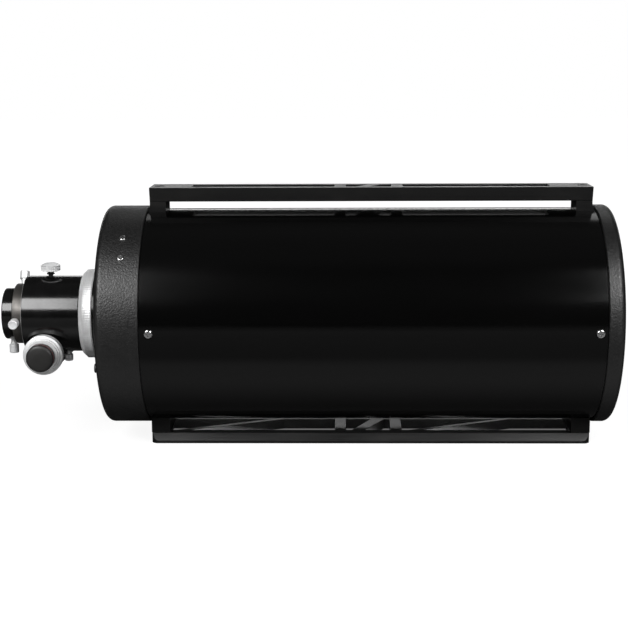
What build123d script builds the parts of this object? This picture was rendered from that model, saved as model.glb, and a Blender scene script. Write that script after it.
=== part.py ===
"""Eight inch two-mirror Cassegrain telescope tube with a Crayford focuser.

Millimetres, +Z up, +X towards the front opening, the focuser at -X.
The origin is the centre of the lower rail's bottom face.
Each piece is drawn about the optical axis and lifted to its height when it is written.
"""
from build123d import *
from math import cos, radians, sin, tan
import os

# Overall arrangement
AXIS_HEIGHT = 136.0         # optical axis above the bottom face of the lower rail
TUBE_R = 114.0
TUBE_WALL = 1.5
TUBE_REAR = -236.2          # the tube runs from here
TUBE_FRONT = 237.5          # to here
SLIP = 0.1                  # clearance of a pushed-in spigot, on the radius
RUNNING = 0.05              # clearance of a turning fit, on the radius

# Rear cell and front ring
CELL_R = 117.0
CELL_BACK = -282.0
RING_FACE = 255.0
RIM_ROUND = 7.0
SPIGOT_LENGTH = 25.0
SPIGOT_BORE_R = 108.0
CELL_WALL = 6.0
CELL_HOLE_R = 40.0
RING_BORE_R = 104.0

# Rails and their feet
TOP_RAIL_HALF = 234.0
BOTTOM_RAIL_HALF = 236.0
TOP_RAIL_UNDER = 123.5
TOP_RAIL_THICK = 15.0
TOP_RAIL_HALF_WIDTH = 22.0
TOP_DOVETAIL_ANGLE = 15.0
BOTTOM_RAIL_THICK = 11.0
BOTTOM_RAIL_HALF_WIDTH = 38.0
BOTTOM_RAIL_LIP = 2.7
BOTTOM_DOVETAIL_ANGLE = 30.0
CROSS_RIBS = (-32.0, 28.5)  # centres of the two ribs that cross each rail
CROSS_RIB_WIDTH = 12.0
TOP_BAY_END = 190.0
BOTTOM_BAY_END = 219.0
TOP_BAY_HALF_WIDTH = 11.0
BOTTOM_BAY_HALF_WIDTH = 23.0
BAY_CORNER_R = 1.2
RIB_WIDTH = 14.0            # length of a diagonal rib along the rail's edge
TOP_FOOT_LENGTH = 17.0
BOTTOM_FOOT_LENGTH = 20.0
BOTTOM_END_ROUND = 8.0
TOP_FOOT_FLARE = 2.2
FOOT_SCREW_X = 225.5
BOTTOM_SCREW_Y = 20.0
M6_R = 3.0
M5_R = 2.5
M4_R = 2.0
COUNTERBORE_R = 5.6
COUNTERBORE_DEPTH = 7.0

# Screws on the shell
REAR_SIDE_SCREW_X = -226.0
FRONT_SIDE_SCREW_X = 229.4
FINDER_SCREW_X = -255.5
FINDER_ANGLES = (38.5, 51.0)    # from the top towards -Y

# Primary mirror and its carrier
MIRROR_R = 103.0
MIRROR_HOLE_R = 30.0
MIRROR_VERTEX = -227.0
MIRROR_BACK = -254.0
MIRROR_CURVE_R = 1218.0
CARRIER_BACK = -264.0
CARRIER_THICK = 8.0
CARRIER_R = 104.0
BAFFLE_R = 24.9
BAFFLE_END = -60.0
SCREW_CIRCLE_R = 88.0
SEAT_GAP = 0.7              # room for the tilt on each side of a seat ring
SPRING_GAP = 1.1            # the same, further out at the springs

# Secondary mirror and spider
HUB_R = 30.0
HUB_BACK = 208.0
HUB_FRONT = 232.0
SPIDER_RING_R = 107.9
VANE_THICK = 1.5
HOLDER_FRONT = 204.0
HOLDER_BACK = 190.0
SECONDARY_R = 47.0
SECONDARY_VERTEX = 174.0
SECONDARY_CURVE_R = 600.0
SECONDARY_SHADE_R = 50.0
SHADE_BACK = 158.0
SECONDARY_SCREW_CIRCLE_R = 20.0

# Focuser
ADAPTER_R = 48.2
ADAPTER_BACK = -309.7
ADAPTER_FRONT = -295.5
ADAPTER_ROUND = 3.5
FLANGE_R = 46.8             # black flange between the silver ring and the cell
BODY_R = 41.0
BODY_BACK = -372.0
BODY_FRONT = -310.0
NECK_R = 38.0
NECK_END = -302.0
DRAW_R = 31.5
DRAW_BORE_R = 25.6
DRAW_END = -290.0
DRAW_PLAY = 0.5
RAIL_TOP = -30.5            # heights from the optical axis
RAIL_BOTTOM = -33.8
RAIL_HALF_WIDTH = 5.0
SHAFT_X = -348.4
SHAFT_Z = -37.0
SHAFT_R = 3.0
ROLLER_R = 4.0
ROLLER_THICK = 4.0
ROLLER_PIN_R = 1.0
ROLLER_XS = (-361.5, -324.0)
ROLLER_ANGLES = (-38.0, 38.0)
CLAMP_R = 32.6
CLAMP_BACK = -383.6
CLAMP_FRONT = -372.3
CLAMP_BORE_R = 25.45        # takes a 2 inch barrel
SMALL_SCREW_ANGLES = (-26.0, 94.0, 214.0)  # from the top towards -Y
CLAMP_SCREW_X = -378.8
EYEPIECE_FLANGE_R = 27.7
EYEPIECE_BACK = -395.8
EYEPIECE_SLEEVE_END = -355.0
EYEPIECE_BORE_R = 15.93     # takes a 1.25 inch barrel
EYEPIECE_SCREW_X = -389.3
LOCK_SCREW_X = -346.0
TENSION_SCREW_X = -327.5
TENSION_SCREW_Y = -10.0
COARSE_R = 21.2
COARSE_START = 38.4         # distances from the middle plane along Y
COARSE_END = 52.0
FINE_R = 14.6
FINE_START = 53.5
FINE_END = 66.5
BLOCK_HALF_WIDTH = 21.0
BUSH_R = 8.0
BUSH_LENGTH = 8.0

pieces = {}


def axis_at(origin, direction):
    """Place whose z axis starts at origin and points along direction."""
    return Plane(origin=origin, z_dir=direction)


OPTICAL_AXIS = axis_at((0, 0, 0), (1, 0, 0))


def turned(place, corners, rounds=()):
    """Solid turned about the z axis of a place from (radius, height) corners.

    rounds lists (radius, height, size) for the corners that are rounded.
    """
    outline = Face(Wire.make_polygon([(r, 0, h) for r, h in corners], close=True))
    for r, h, size in rounds:
        corner = outline.vertices().sort_by_distance(Vector(r, 0, h))[0]
        outline = outline.fillet_2d(size, [corner])
    return place * revolve(outline, Axis.Z)


def sleeve(outer, inner, start, end, place=OPTICAL_AXIS):
    """Plain ring from height start to height end."""
    return turned(place, [(inner, start), (outer, start), (outer, end), (inner, end)])


def rod(radius, start, end, place=OPTICAL_AXIS):
    """Plain round bar from height start to height end."""
    return place * Pos(0, 0, (start + end) / 2) * Cylinder(radius, end - start)


def block(x, y, z):
    """Box between the given (low, high) pairs."""
    size = [high - low for low, high in (x, y, z)]
    centre = [(high + low) / 2 for low, high in (x, y, z)]
    return Pos(*centre) * Box(*size)


def radial(angle):
    """Direction across the tube, angle in degrees from the top towards -Y."""
    return Vector(0, -sin(radians(angle)), cos(radians(angle)))


def radial_place(x, radius, angle):
    """Place on a cylinder about the optical axis, pointing outwards."""
    direction = radial(angle)
    return axis_at(Vector(x, 0, 0) + direction * radius, direction)


def pan_screw(place, head_r, head_height, shank_r, length):
    """Pan head screw with a cross recess, its seat at the place's origin."""
    head = turned(Plane.XY, [(0, 0), (head_r, 0), (head_r, head_height), (0, head_height)],
                  rounds=[(head_r, head_height, head_height * 0.6)])
    arm = head_r * 1.1
    slot = head_r * 0.22
    depth = head_height * 0.55
    for long_x, long_y in ((arm, slot), (slot, arm)):
        head -= Pos(0, 0, head_height) * Box(long_x, long_y, depth * 2)
    return place * (head + rod(shank_r, -length, 0, Plane.XY))


def socket_screw(place, shank_r, length):
    """Cap screw with a hexagon socket, its seat at the place's origin."""
    head_height = 2 * shank_r
    head = rod(shank_r * 1.65, 0, head_height, Plane.XY)
    head = chamfer(head.edges().group_by(Axis.Z)[-1], shank_r * 0.15)
    socket = extrude(RegularPolygon(shank_r * 0.95, 6), shank_r * 1.1)
    head -= Pos(0, 0, head_height - shank_r * 1.1) * socket
    return place * (head + rod(shank_r, -length, 0, Plane.XY))


def thumbscrew(place, head_r, head_height, neck_r, neck_height, shank_r, length):
    """Thumbscrew with a crowned head on a neck, its seat at the place's origin."""
    top = neck_height + head_height
    crown = head_r * 0.18
    corners = [(0, -length), (shank_r, -length), (shank_r, 0), (neck_r, 0),
               (neck_r, neck_height), (head_r, neck_height), (head_r, top), (0, top)]
    return turned(place, corners, rounds=[(head_r, top, crown), (head_r, neck_height, crown / 2)])


def sphere_cap(vertex, radius):
    """Large sphere on the optical axis that touches the vertex from the front."""
    return Pos(vertex + radius, 0, 0) * Sphere(radius)


# Shell -------------------------------------------------------------------------------

def side_screw_places(x):
    """Seats of the two side screws that hold one end of the tube."""
    return [radial_place(x, TUBE_R, angle) for angle in (90, 270)]


def top_screw_place(x):
    """Seat of the screw at one end of the top rail."""
    height = TOP_RAIL_UNDER + TOP_RAIL_THICK - COUNTERBORE_DEPTH
    return axis_at((x, 0, height), (0, 0, 1))


def bottom_screw_places(x):
    """Seats of the two screws at one end of the bottom rail."""
    height = COUNTERBORE_DEPTH - AXIS_HEIGHT
    return [axis_at((x, y, height), (0, 0, -1)) for y in (-BOTTOM_SCREW_Y, BOTTOM_SCREW_Y)]


def shell_holes():
    """Holes that the side screws and the rail screws need through the shell."""
    depth = 30
    holes = []
    for x in (REAR_SIDE_SCREW_X, FRONT_SIDE_SCREW_X):
        holes += [rod(M5_R, -depth, 0, place) for place in side_screw_places(x)]
    for x in (-FOOT_SCREW_X, FOOT_SCREW_X):
        holes += [rod(M6_R, -depth, 0, top_screw_place(x))]
        holes += [rod(M6_R, -depth, 0, place) for place in bottom_screw_places(x)]
    return holes


holes_through_shell = shell_holes()
spigot_r = TUBE_R - TUBE_WALL - SLIP

tube = sleeve(TUBE_R, TUBE_R - TUBE_WALL, TUBE_REAR, TUBE_FRONT)
pieces["main_tube"] = tube - holes_through_shell

# The rear cell is a pot with a spigot that enters the tube and a hole for the focuser.
cell_inside = CELL_BACK + CELL_WALL
rear_cell = turned(OPTICAL_AXIS, [
    (CELL_HOLE_R, CELL_BACK), (CELL_R, CELL_BACK), (CELL_R, TUBE_REAR), (spigot_r, TUBE_REAR),
    (spigot_r, SPIGOT_LENGTH + TUBE_REAR), (SPIGOT_BORE_R, SPIGOT_LENGTH + TUBE_REAR),
    (SPIGOT_BORE_R, cell_inside), (CELL_HOLE_R, cell_inside),
], rounds=[(CELL_R, CELL_BACK, RIM_ROUND), (CELL_R, TUBE_REAR, 1.0)])

PULL_ANGLES = (0, 120, 240)
PUSH_OFFSET = 14.0


def rear_screw_place(angle):
    """Seat of a collimation screw on the back of the rear cell."""
    offset = radial(angle) * SCREW_CIRCLE_R
    return axis_at(Vector(CELL_BACK, 0, 0) + offset, (-1, 0, 0))


pull_places = [rear_screw_place(angle) for angle in PULL_ANGLES]
push_places = [rear_screw_place(angle + PUSH_OFFSET) for angle in PULL_ANGLES]
finder_places = [radial_place(FINDER_SCREW_X, CELL_R, angle) for angle in FINDER_ANGLES]
rear_cell -= holes_through_shell
rear_cell -= [rod(M6_R, -CELL_WALL, 0, place) for place in pull_places]
rear_cell -= [rod(M4_R, -CELL_WALL, 0, place) for place in push_places]
rear_cell -= [rod(M4_R, -7, 0, place) for place in finder_places]
pieces["rear_cell"] = rear_cell

front_ring = turned(OPTICAL_AXIS, [
    (RING_BORE_R, RING_FACE), (CELL_R, RING_FACE), (CELL_R, TUBE_FRONT), (spigot_r, TUBE_FRONT),
    (spigot_r, TUBE_FRONT - SPIGOT_LENGTH), (SPIGOT_BORE_R, TUBE_FRONT - SPIGOT_LENGTH),
    (SPIGOT_BORE_R, TUBE_FRONT), (RING_BORE_R, TUBE_FRONT),
], rounds=[(CELL_R, RING_FACE, RIM_ROUND), (CELL_R, TUBE_FRONT, 1.0), (RING_BORE_R, RING_FACE, 3.0)])
pieces["front_ring"] = front_ring - holes_through_shell

SIDE_HEAD_R = 4.6
SIDE_HEAD_HEIGHT = 3.2
SIDE_SCREW_LENGTH = 5.6
for end, x in (("rear", REAR_SIDE_SCREW_X), ("front", FRONT_SIDE_SCREW_X)):
    pieces[f"side_screws_{end}"] = Compound([
        pan_screw(place, SIDE_HEAD_R, SIDE_HEAD_HEIGHT, M5_R, SIDE_SCREW_LENGTH) for place in side_screw_places(x)])
pieces["finder_screws"] = Compound([pan_screw(place, 3.4, 1.8, M4_R, 6) for place in finder_places])

BAFFLE_RING_XS = (-150.0, -70.0, 10.0, 90.0)
pieces["baffle_rings"] = Compound([sleeve(spigot_r, 106.0, x, x + 1.2) for x in BAFFLE_RING_XS])


# Rails -------------------------------------------------------------------------------

def rail_bays(end, half_width, low, high, diagonals):
    """Cut-outs of a rail between its cross ribs, with diagonal ribs left standing.

    diagonals gives, for each of the three bays, where the rib starts and ends as
    fractions of the bay's length, or None for an open bay.
    """
    left, right = CROSS_RIBS
    half_rib = CROSS_RIB_WIDTH / 2
    spans = ((-end, left - half_rib), (left + half_rib, right - half_rib), (right + half_rib, end))
    bays = []
    for (start, stop), diagonal in zip(spans, diagonals):
        bay = block((start, stop), (-half_width, half_width), (low, high))
        if diagonal:
            foot, head = [start + part * (stop - start) for part in diagonal]
            reach = half_width + 1
            rib = Polygon((foot, -reach), (foot + RIB_WIDTH, -reach),
                          (head + RIB_WIDTH, reach), (head, reach), align=None)
            bay -= Pos(0, 0, low) * extrude(rib, high - low)
        for solid in bay.solids():
            bays.append(fillet(solid.edges().filter_by(Axis.Z), BAY_CORNER_R))
    return bays


def dovetail(profile, half_length):
    """Rail of constant section from (y, z) corners, centred along X."""
    section = Plane.YZ * Polygon(*profile, align=None)
    rail = Pos(-half_length, 0, 0) * extrude(section, 2 * half_length)
    return chamfer(rail.edges().filter_by(Axis.X), 0.5)


top_face = TOP_RAIL_UNDER + TOP_RAIL_THICK
top_narrow = TOP_RAIL_HALF_WIDTH - TOP_RAIL_THICK * tan(radians(TOP_DOVETAIL_ANGLE))
top_rail = dovetail([(-top_narrow, TOP_RAIL_UNDER), (top_narrow, TOP_RAIL_UNDER),
                     (TOP_RAIL_HALF_WIDTH, top_face), (-TOP_RAIL_HALF_WIDTH, top_face)], TOP_RAIL_HALF)
top_rail -= rail_bays(TOP_BAY_END, TOP_BAY_HALF_WIDTH, TOP_RAIL_UNDER - 1, top_face + 1,
                      (None, (0.2, 0.5), None))

bottom_face = -AXIS_HEIGHT
bottom_top = bottom_face + BOTTOM_RAIL_THICK
slope_height = BOTTOM_RAIL_THICK - BOTTOM_RAIL_LIP
bottom_narrow = BOTTOM_RAIL_HALF_WIDTH - slope_height * tan(radians(BOTTOM_DOVETAIL_ANGLE))
bottom_rail = dovetail([(-BOTTOM_RAIL_HALF_WIDTH, bottom_face), (BOTTOM_RAIL_HALF_WIDTH, bottom_face),
                        (BOTTOM_RAIL_HALF_WIDTH, bottom_face + BOTTOM_RAIL_LIP),
                        (bottom_narrow, bottom_top), (-bottom_narrow, bottom_top),
                        (-BOTTOM_RAIL_HALF_WIDTH, bottom_face + BOTTOM_RAIL_LIP)], BOTTOM_RAIL_HALF)
ends_outline = RectangleRounded(2 * BOTTOM_RAIL_HALF, 2 * BOTTOM_RAIL_HALF_WIDTH, BOTTOM_END_ROUND)
bottom_rail &= Pos(0, 0, bottom_face) * extrude(ends_outline, BOTTOM_RAIL_THICK)
bottom_rail -= rail_bays(BOTTOM_BAY_END, BOTTOM_BAY_HALF_WIDTH, bottom_face - 1, bottom_top + 1,
                         ((0.04, 0.62), (0.12, 0.59), (0.03, 0.6)))

tube_body = rod(TUBE_R + 0.02, TUBE_REAR - 10, TUBE_FRONT + 10)
for end, side in (("rear", -1), ("front", 1)):
    outer = side * TOP_RAIL_HALF
    inner = side * (TOP_RAIL_HALF - TOP_FOOT_LENGTH)
    flare = outer + side * TOP_FOOT_FLARE
    outline = Polygon((inner, TOP_RAIL_UNDER), (outer, TOP_RAIL_UNDER), (outer, TUBE_R + 4),
                      (flare, TUBE_R), (flare, TUBE_R - 8), (inner, TUBE_R - 8), align=None)
    foot = extrude(Plane.XZ * outline, top_narrow, both=True) - tube_body
    pieces[f"top_foot_{end}"] = foot - rod(M6_R, -30, 0, top_screw_place(side * FOOT_SCREW_X))

    low, high = sorted((side * BOTTOM_RAIL_HALF, side * (BOTTOM_RAIL_HALF - BOTTOM_FOOT_LENGTH)))
    foot = block((low, high), (-bottom_narrow, bottom_narrow), (bottom_top, -TUBE_R + 15)) - tube_body
    for place in bottom_screw_places(side * FOOT_SCREW_X):
        foot -= rod(M6_R, -30, 0, place)
        bottom_rail -= rod(M6_R, -30, 0, place) + rod(COUNTERBORE_R, 0, COUNTERBORE_DEPTH + 1, place)
    pieces[f"bottom_foot_{end}"] = foot
    place = top_screw_place(side * FOOT_SCREW_X)
    top_rail -= rod(M6_R, -30, 0, place) + rod(COUNTERBORE_R, 0, COUNTERBORE_DEPTH + 1, place)

pieces["top_rail"] = top_rail
pieces["bottom_rail"] = bottom_rail
pieces["top_rail_screws"] = Compound([
    socket_screw(top_screw_place(x), M6_R, 22) for x in (-FOOT_SCREW_X, FOOT_SCREW_X)])
pieces["bottom_rail_screws"] = Compound([
    socket_screw(place, M6_R, 22) for x in (-FOOT_SCREW_X, FOOT_SCREW_X)
    for place in bottom_screw_places(x)])


# Primary mirror ----------------------------------------------------------------------

carrier_front = CARRIER_BACK + CARRIER_THICK
BOSS_R = MIRROR_HOLE_R - 0.5
carrier = turned(OPTICAL_AXIS, [
    (BAFFLE_R, CARRIER_BACK), (CARRIER_R, CARRIER_BACK), (CARRIER_R, carrier_front),
    (BOSS_R, carrier_front), (BOSS_R, MIRROR_VERTEX + 6), (BAFFLE_R, MIRROR_VERTEX + 6)])
carrier -= [rod(M6_R + 1.2, -30, -10, place) for place in pull_places]
pieces["primary_carrier"] = carrier

mirror_edge = MIRROR_VERTEX + 5
mirror = sleeve(MIRROR_R, MIRROR_HOLE_R, MIRROR_BACK, mirror_edge)
pieces["primary_mirror"] = mirror - sphere_cap(MIRROR_VERTEX, MIRROR_CURVE_R)
pad_xs = (carrier_front, MIRROR_BACK)
pieces["mirror_pad"] = sleeve(92.0, 84.0, *pad_xs)
pieces["mirror_retainer"] = sleeve(36.0, BOSS_R, MIRROR_VERTEX + 0.6, MIRROR_VERTEX + 5)
pieces["primary_baffle"] = turned(OPTICAL_AXIS, [
    (BAFFLE_R - 1.5, CARRIER_BACK), (BAFFLE_R, CARRIER_BACK), (BAFFLE_R, BAFFLE_END),
    (BAFFLE_R - 1.5, BAFFLE_END)])
pieces["primary_seat_ring"] = sleeve(50.0, 43.0, cell_inside + SEAT_GAP, CARRIER_BACK - SEAT_GAP)
pieces["pull_screws"] = Compound([socket_screw(place, M6_R, 24) for place in pull_places])
pieces["push_screws"] = Compound([pan_screw(place, 3.6, 2.2, M4_R, 17) for place in push_places])


def coil_spring(place, radius, wire_r, height, turns):
    """Open coil spring standing at the place's origin."""
    path = Helix(pitch=(height - 2 * wire_r) / turns, height=height - 2 * wire_r, radius=radius)
    profile = Plane(origin=path @ 0, z_dir=path % 0) * Circle(wire_r)
    return place * Pos(0, 0, wire_r) * sweep(profile, path, is_frenet=True)


spring_height = CARRIER_BACK - cell_inside - 2 * SPRING_GAP
pieces["carrier_springs"] = Compound([
    coil_spring(place * Pos(0, 0, -CELL_WALL - SPRING_GAP - spring_height), 5.5, 0.8, spring_height, 3)
    for place in pull_places])


# Secondary mirror and spider ---------------------------------------------------------

VANE_SPAN = (212.0, 230.0)
BOLT_CLEAR_R = 4.0
spider = turned(OPTICAL_AXIS, [
    (BOLT_CLEAR_R, HUB_BACK), (HUB_R, HUB_BACK), (HUB_R, HUB_FRONT), (BOLT_CLEAR_R, HUB_FRONT)],
    rounds=[(HUB_R, HUB_FRONT, 2.0)])
spider += sleeve(SPIDER_RING_R, SPIDER_RING_R - 2.4, 216.5, 236.5)
for angle in (45, 135, 225, 315):
    vane = block(VANE_SPAN, (-VANE_THICK / 2, VANE_THICK / 2), (HUB_R - 1, SPIDER_RING_R - 1))
    spider += Rot(angle, 0, 0) * vane
secondary_places = [axis_at(Vector(HUB_FRONT, 0, 0) + radial(angle) * SECONDARY_SCREW_CIRCLE_R, (1, 0, 0))
                    for angle in (60, 180, 300)]
spider -= [rod(M4_R, -30, 0, place) for place in secondary_places]
pieces["spider"] = spider
pieces["secondary_screws"] = Compound([
    socket_screw(place, M4_R, HUB_FRONT - HOLDER_FRONT - 0.6) for place in secondary_places])
pieces["secondary_centre_bolt"] = socket_screw(axis_at((HUB_FRONT, 0, 0), (1, 0, 0)), M6_R, 34)
pieces["secondary_holder"] = turned(OPTICAL_AXIS, [
    (BOLT_CLEAR_R, HOLDER_BACK), (SECONDARY_R, HOLDER_BACK), (SECONDARY_R, HOLDER_FRONT),
    (BOLT_CLEAR_R, HOLDER_FRONT)], rounds=[(SECONDARY_R, HOLDER_FRONT, 3.0)])
secondary = rod(SECONDARY_R, SECONDARY_VERTEX, HOLDER_BACK)
pieces["secondary_mirror"] = secondary & sphere_cap(SECONDARY_VERTEX, SECONDARY_CURVE_R)
pieces["secondary_shade"] = sleeve(SECONDARY_SHADE_R, SECONDARY_R + 0.05, SHADE_BACK, HOLDER_FRONT - 4)
pieces["secondary_washer"] = sleeve(9.0, BOLT_CLEAR_R, HOLDER_FRONT + 0.4, HUB_BACK - 0.4)


# Focuser: fixed ring, turning body, drawtube -----------------------------------------

ADAPTER_BORE_R = 37.0
RING_STEP = NECK_END + 1.0
pieces["focuser_ring"] = turned(OPTICAL_AXIS, [
    (NECK_R + RUNNING, ADAPTER_BACK), (ADAPTER_R, ADAPTER_BACK), (ADAPTER_R, ADAPTER_FRONT),
    (ADAPTER_BORE_R, ADAPTER_FRONT), (ADAPTER_BORE_R, RING_STEP), (NECK_R + RUNNING, RING_STEP),
], rounds=[(ADAPTER_R, ADAPTER_BACK, ADAPTER_ROUND)])
pieces["adapter_flange"] = turned(OPTICAL_AXIS, [
    (ADAPTER_BORE_R, ADAPTER_FRONT), (FLANGE_R, ADAPTER_FRONT), (FLANGE_R, CELL_BACK),
    (CELL_HOLE_R, CELL_BACK), (CELL_HOLE_R, cell_inside), (ADAPTER_BORE_R, cell_inside)])

body = turned(OPTICAL_AXIS, [
    (DRAW_R + DRAW_PLAY, BODY_BACK), (BODY_R, BODY_BACK), (BODY_R, BODY_FRONT),
    (NECK_R, BODY_FRONT), (NECK_R, NECK_END), (DRAW_R + DRAW_PLAY, NECK_END),
], rounds=[(BODY_R, BODY_BACK, 1.2), (BODY_R, BODY_FRONT, 1.2)])
channel = block((BODY_BACK - 1, NECK_END + 1), (-RAIL_HALF_WIDTH - 1, RAIL_HALF_WIDTH + 1),
                (RAIL_BOTTOM - 0.8, RAIL_TOP + 1))
shaft_slot = block((SHAFT_X - 4, SHAFT_X + 4), (-BLOCK_HALF_WIDTH, BLOCK_HALF_WIDTH),
                   (-BODY_R - 1, SHAFT_Z + SHAFT_R + 1))
shaft_axis = axis_at((SHAFT_X, 0, SHAFT_Z), (0, -1, 0))
body -= channel + shaft_slot
body -= rod(BUSH_R + 0.4, -BLOCK_HALF_WIDTH - 14, BLOCK_HALF_WIDTH + 14, shaft_axis)


def roller_place(x, angle):
    """Middle of a drawtube roller: z along its pin, x towards the drawtube axis."""
    outward = radial(angle)
    centre = Vector(x, 0, 0) + outward * (DRAW_R + ROLLER_R + SLIP)
    return Plane(origin=centre, x_dir=-outward, z_dir=Vector(1, 0, 0).cross(outward))


roller_places = [roller_place(x, angle) for x in ROLLER_XS for angle in ROLLER_ANGLES]
ROLLER_ROOM = 0.5
for place in roller_places:
    room = 2 * (ROLLER_R + ROLLER_ROOM)
    body -= place * Pos(0.5, 0, 0) * Box(room, room, ROLLER_THICK + 2 * ROLLER_ROOM)
    body -= rod(ROLLER_PIN_R, -5.0, 5.0, place)
for number, place in enumerate(roller_places, 1):
    pieces[f"roller_{number}"] = sleeve(ROLLER_R, ROLLER_PIN_R + RUNNING, -ROLLER_THICK / 2,
                                        ROLLER_THICK / 2, place)
pieces["roller_pins"] = Compound([rod(ROLLER_PIN_R, -4.8, 4.8, place) for place in roller_places])

lock_place = axis_at((LOCK_SCREW_X, 0, BODY_R - 0.6), (0, 0, 1))
LOCK_SHANK = BODY_R - 0.6 - DRAW_R - 0.3
body -= rod(4.6, 0, 5, lock_place) + rod(M5_R + RUNNING, -12, 0, lock_place)
tension_place = axis_at((TENSION_SCREW_X, TENSION_SCREW_Y, -40.6), (0, 0, -1))
body -= rod(M4_R + RUNNING, -5.6, 0, tension_place)
body -= rod(3.4, 0, 5, tension_place)
pieces["focuser_body"] = body
LOCK_HEAD_R = 10.5
LOCK_HEAD_LOW = 6.4
LOCK_RIM_TOP = 13.0
LOCK_NECK_R = 4.2
pieces["lock_thumbscrew"] = turned(lock_place, [
    (0, -LOCK_SHANK), (M5_R, -LOCK_SHANK), (M5_R, 0), (LOCK_NECK_R, 0), (LOCK_NECK_R, LOCK_HEAD_LOW),
    (LOCK_HEAD_R, LOCK_HEAD_LOW), (LOCK_HEAD_R, LOCK_RIM_TOP), (6.0, 15.0), (0, 15.6)],
    rounds=[(LOCK_HEAD_R, LOCK_RIM_TOP, 1.5), (LOCK_HEAD_R, LOCK_HEAD_LOW, 0.6)])
pieces["tension_screw"] = thumbscrew(tension_place, 4.6, 8.0, 3.0, 1.6, M4_R, 5.0)

# The pinion block hangs under the body and carries the shaft across it.
BLOCK_X = (-365.5, -333.0)
BLOCK_LOW = -55.0
pinion_block = block(BLOCK_X, (-BLOCK_HALF_WIDTH, BLOCK_HALF_WIDTH), (BLOCK_LOW, -34.0))
pinion_block = fillet(pinion_block.edges().filter_by(Axis.Y).group_by(Axis.Z)[0], 8.0)
pinion_block -= rod(BODY_R + 0.02, BODY_BACK, BODY_FRONT) + block(BLOCK_X, (-6, 6), (SHAFT_Z - 2, -30))
pinion_block -= rod(SHAFT_R + RUNNING, -30, 30, shaft_axis)
BLOCK_SCREWS = [(x, y) for x in (-360.5, -338.0) for y in (-8.0, 8.0)]
block_screw_places = [axis_at((x, y, BLOCK_LOW + 6.0), (0, 0, -1)) for x, y in BLOCK_SCREWS]
pieces["pinion_bushes"] = Compound([
    sleeve(BUSH_R, SHAFT_R + RUNNING, start, start + BUSH_LENGTH, shaft_axis)
    for start in (BLOCK_HALF_WIDTH, -BLOCK_HALF_WIDTH - BUSH_LENGTH)])
for place in block_screw_places:
    pinion_block -= rod(M4_R * 1.65 + 0.2, 0, 12, place) + rod(1.6, -9, 0, place)
pieces["pinion_block"] = pinion_block
pieces["block_screws"] = Compound([socket_screw(place, 1.6, 8.5) for place in block_screw_places])
pieces["pinion_shaft"] = rod(SHAFT_R, -COARSE_END + 6, COARSE_END - 6, shaft_axis)


KNOB_HUB_R = 5.4
HUB_START = BLOCK_HALF_WIDTH + BUSH_LENGTH + 0.3


def coarse_knob(side):
    """Large focusing knob on one end of the shaft, side 1 towards -Y and -1 towards +Y."""
    place = axis_at((SHAFT_X, 0, SHAFT_Z), (0, -side, 0))
    return turned(place, [
        (SHAFT_R, HUB_START), (KNOB_HUB_R, HUB_START), (KNOB_HUB_R, COARSE_START),
        (COARSE_R, COARSE_START), (COARSE_R, COARSE_START + 9.0),
        (COARSE_R - 2.2, COARSE_START + 10.5), (COARSE_R - 2.2, COARSE_END - 2.0),
        (COARSE_R - 4.2, COARSE_END), (SHAFT_R, COARSE_END),
    ], rounds=[(COARSE_R, COARSE_START, 1.0)])


pieces["coarse_knob_left"] = coarse_knob(1)
pieces["coarse_knob_right"] = coarse_knob(-1)
pieces["knob_cap_right"] = turned(axis_at((SHAFT_X, 0, SHAFT_Z), (0, 1, 0)), [
    (0, COARSE_END), (13.0, COARSE_END), (13.0, COARSE_END + 3.0), (0, COARSE_END + 3.8)],
    rounds=[(13.0, COARSE_END + 3.0, 1.0)])
pieces["reducer_hub"] = sleeve(11.0, 3.2, COARSE_END, FINE_START - 0.3, shaft_axis)
pieces["fine_knob"] = turned(shaft_axis, [
    (0, COARSE_END - 5.5), (2.8, COARSE_END - 5.5), (2.8, FINE_START), (FINE_R, FINE_START),
    (FINE_R, FINE_END - 3.5), (0, FINE_END)], rounds=[(FINE_R, FINE_END - 3.5, 2.0)])

# Drawtube with the flat rail under it that the shaft drives.
drawtube = sleeve(DRAW_R, DRAW_BORE_R, CLAMP_FRONT, DRAW_END)
drawtube -= block((CLAMP_FRONT, DRAW_END), (-RAIL_HALF_WIDTH, RAIL_HALF_WIDTH), (-40, RAIL_TOP))
pieces["drawtube"] = drawtube
pieces["drawtube_rail"] = block((BODY_BACK + 1, -298.0), (-RAIL_HALF_WIDTH, RAIL_HALF_WIDTH),
                                (RAIL_BOTTOM, RAIL_TOP))

# Two inch clamp on the end of the drawtube.
GROOVE = 1.6
clamp_places = [radial_place(CLAMP_SCREW_X, CLAMP_R, angle) for angle in SMALL_SCREW_ANGLES]
groove_x = (CLAMP_SCREW_X - 2.0, CLAMP_SCREW_X + 2.0)
clamp = turned(OPTICAL_AXIS, [
    (CLAMP_BORE_R, CLAMP_BACK), (CLAMP_R, CLAMP_BACK), (CLAMP_R, CLAMP_FRONT),
    (CLAMP_BORE_R, CLAMP_FRONT)], rounds=[(CLAMP_R, CLAMP_BACK, 1.2), (CLAMP_R, CLAMP_FRONT, 0.6)])
clamp -= sleeve(CLAMP_BORE_R + GROOVE, CLAMP_BORE_R - 1, *groove_x)
clamp -= [rod(M4_R + RUNNING, -8, 1, place) for place in clamp_places]
pieces["clamp_2in"] = clamp
pieces["clamp_brass_ring"] = sleeve(CLAMP_BORE_R + GROOVE - 0.3, CLAMP_BORE_R + 0.1, *groove_x)

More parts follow.
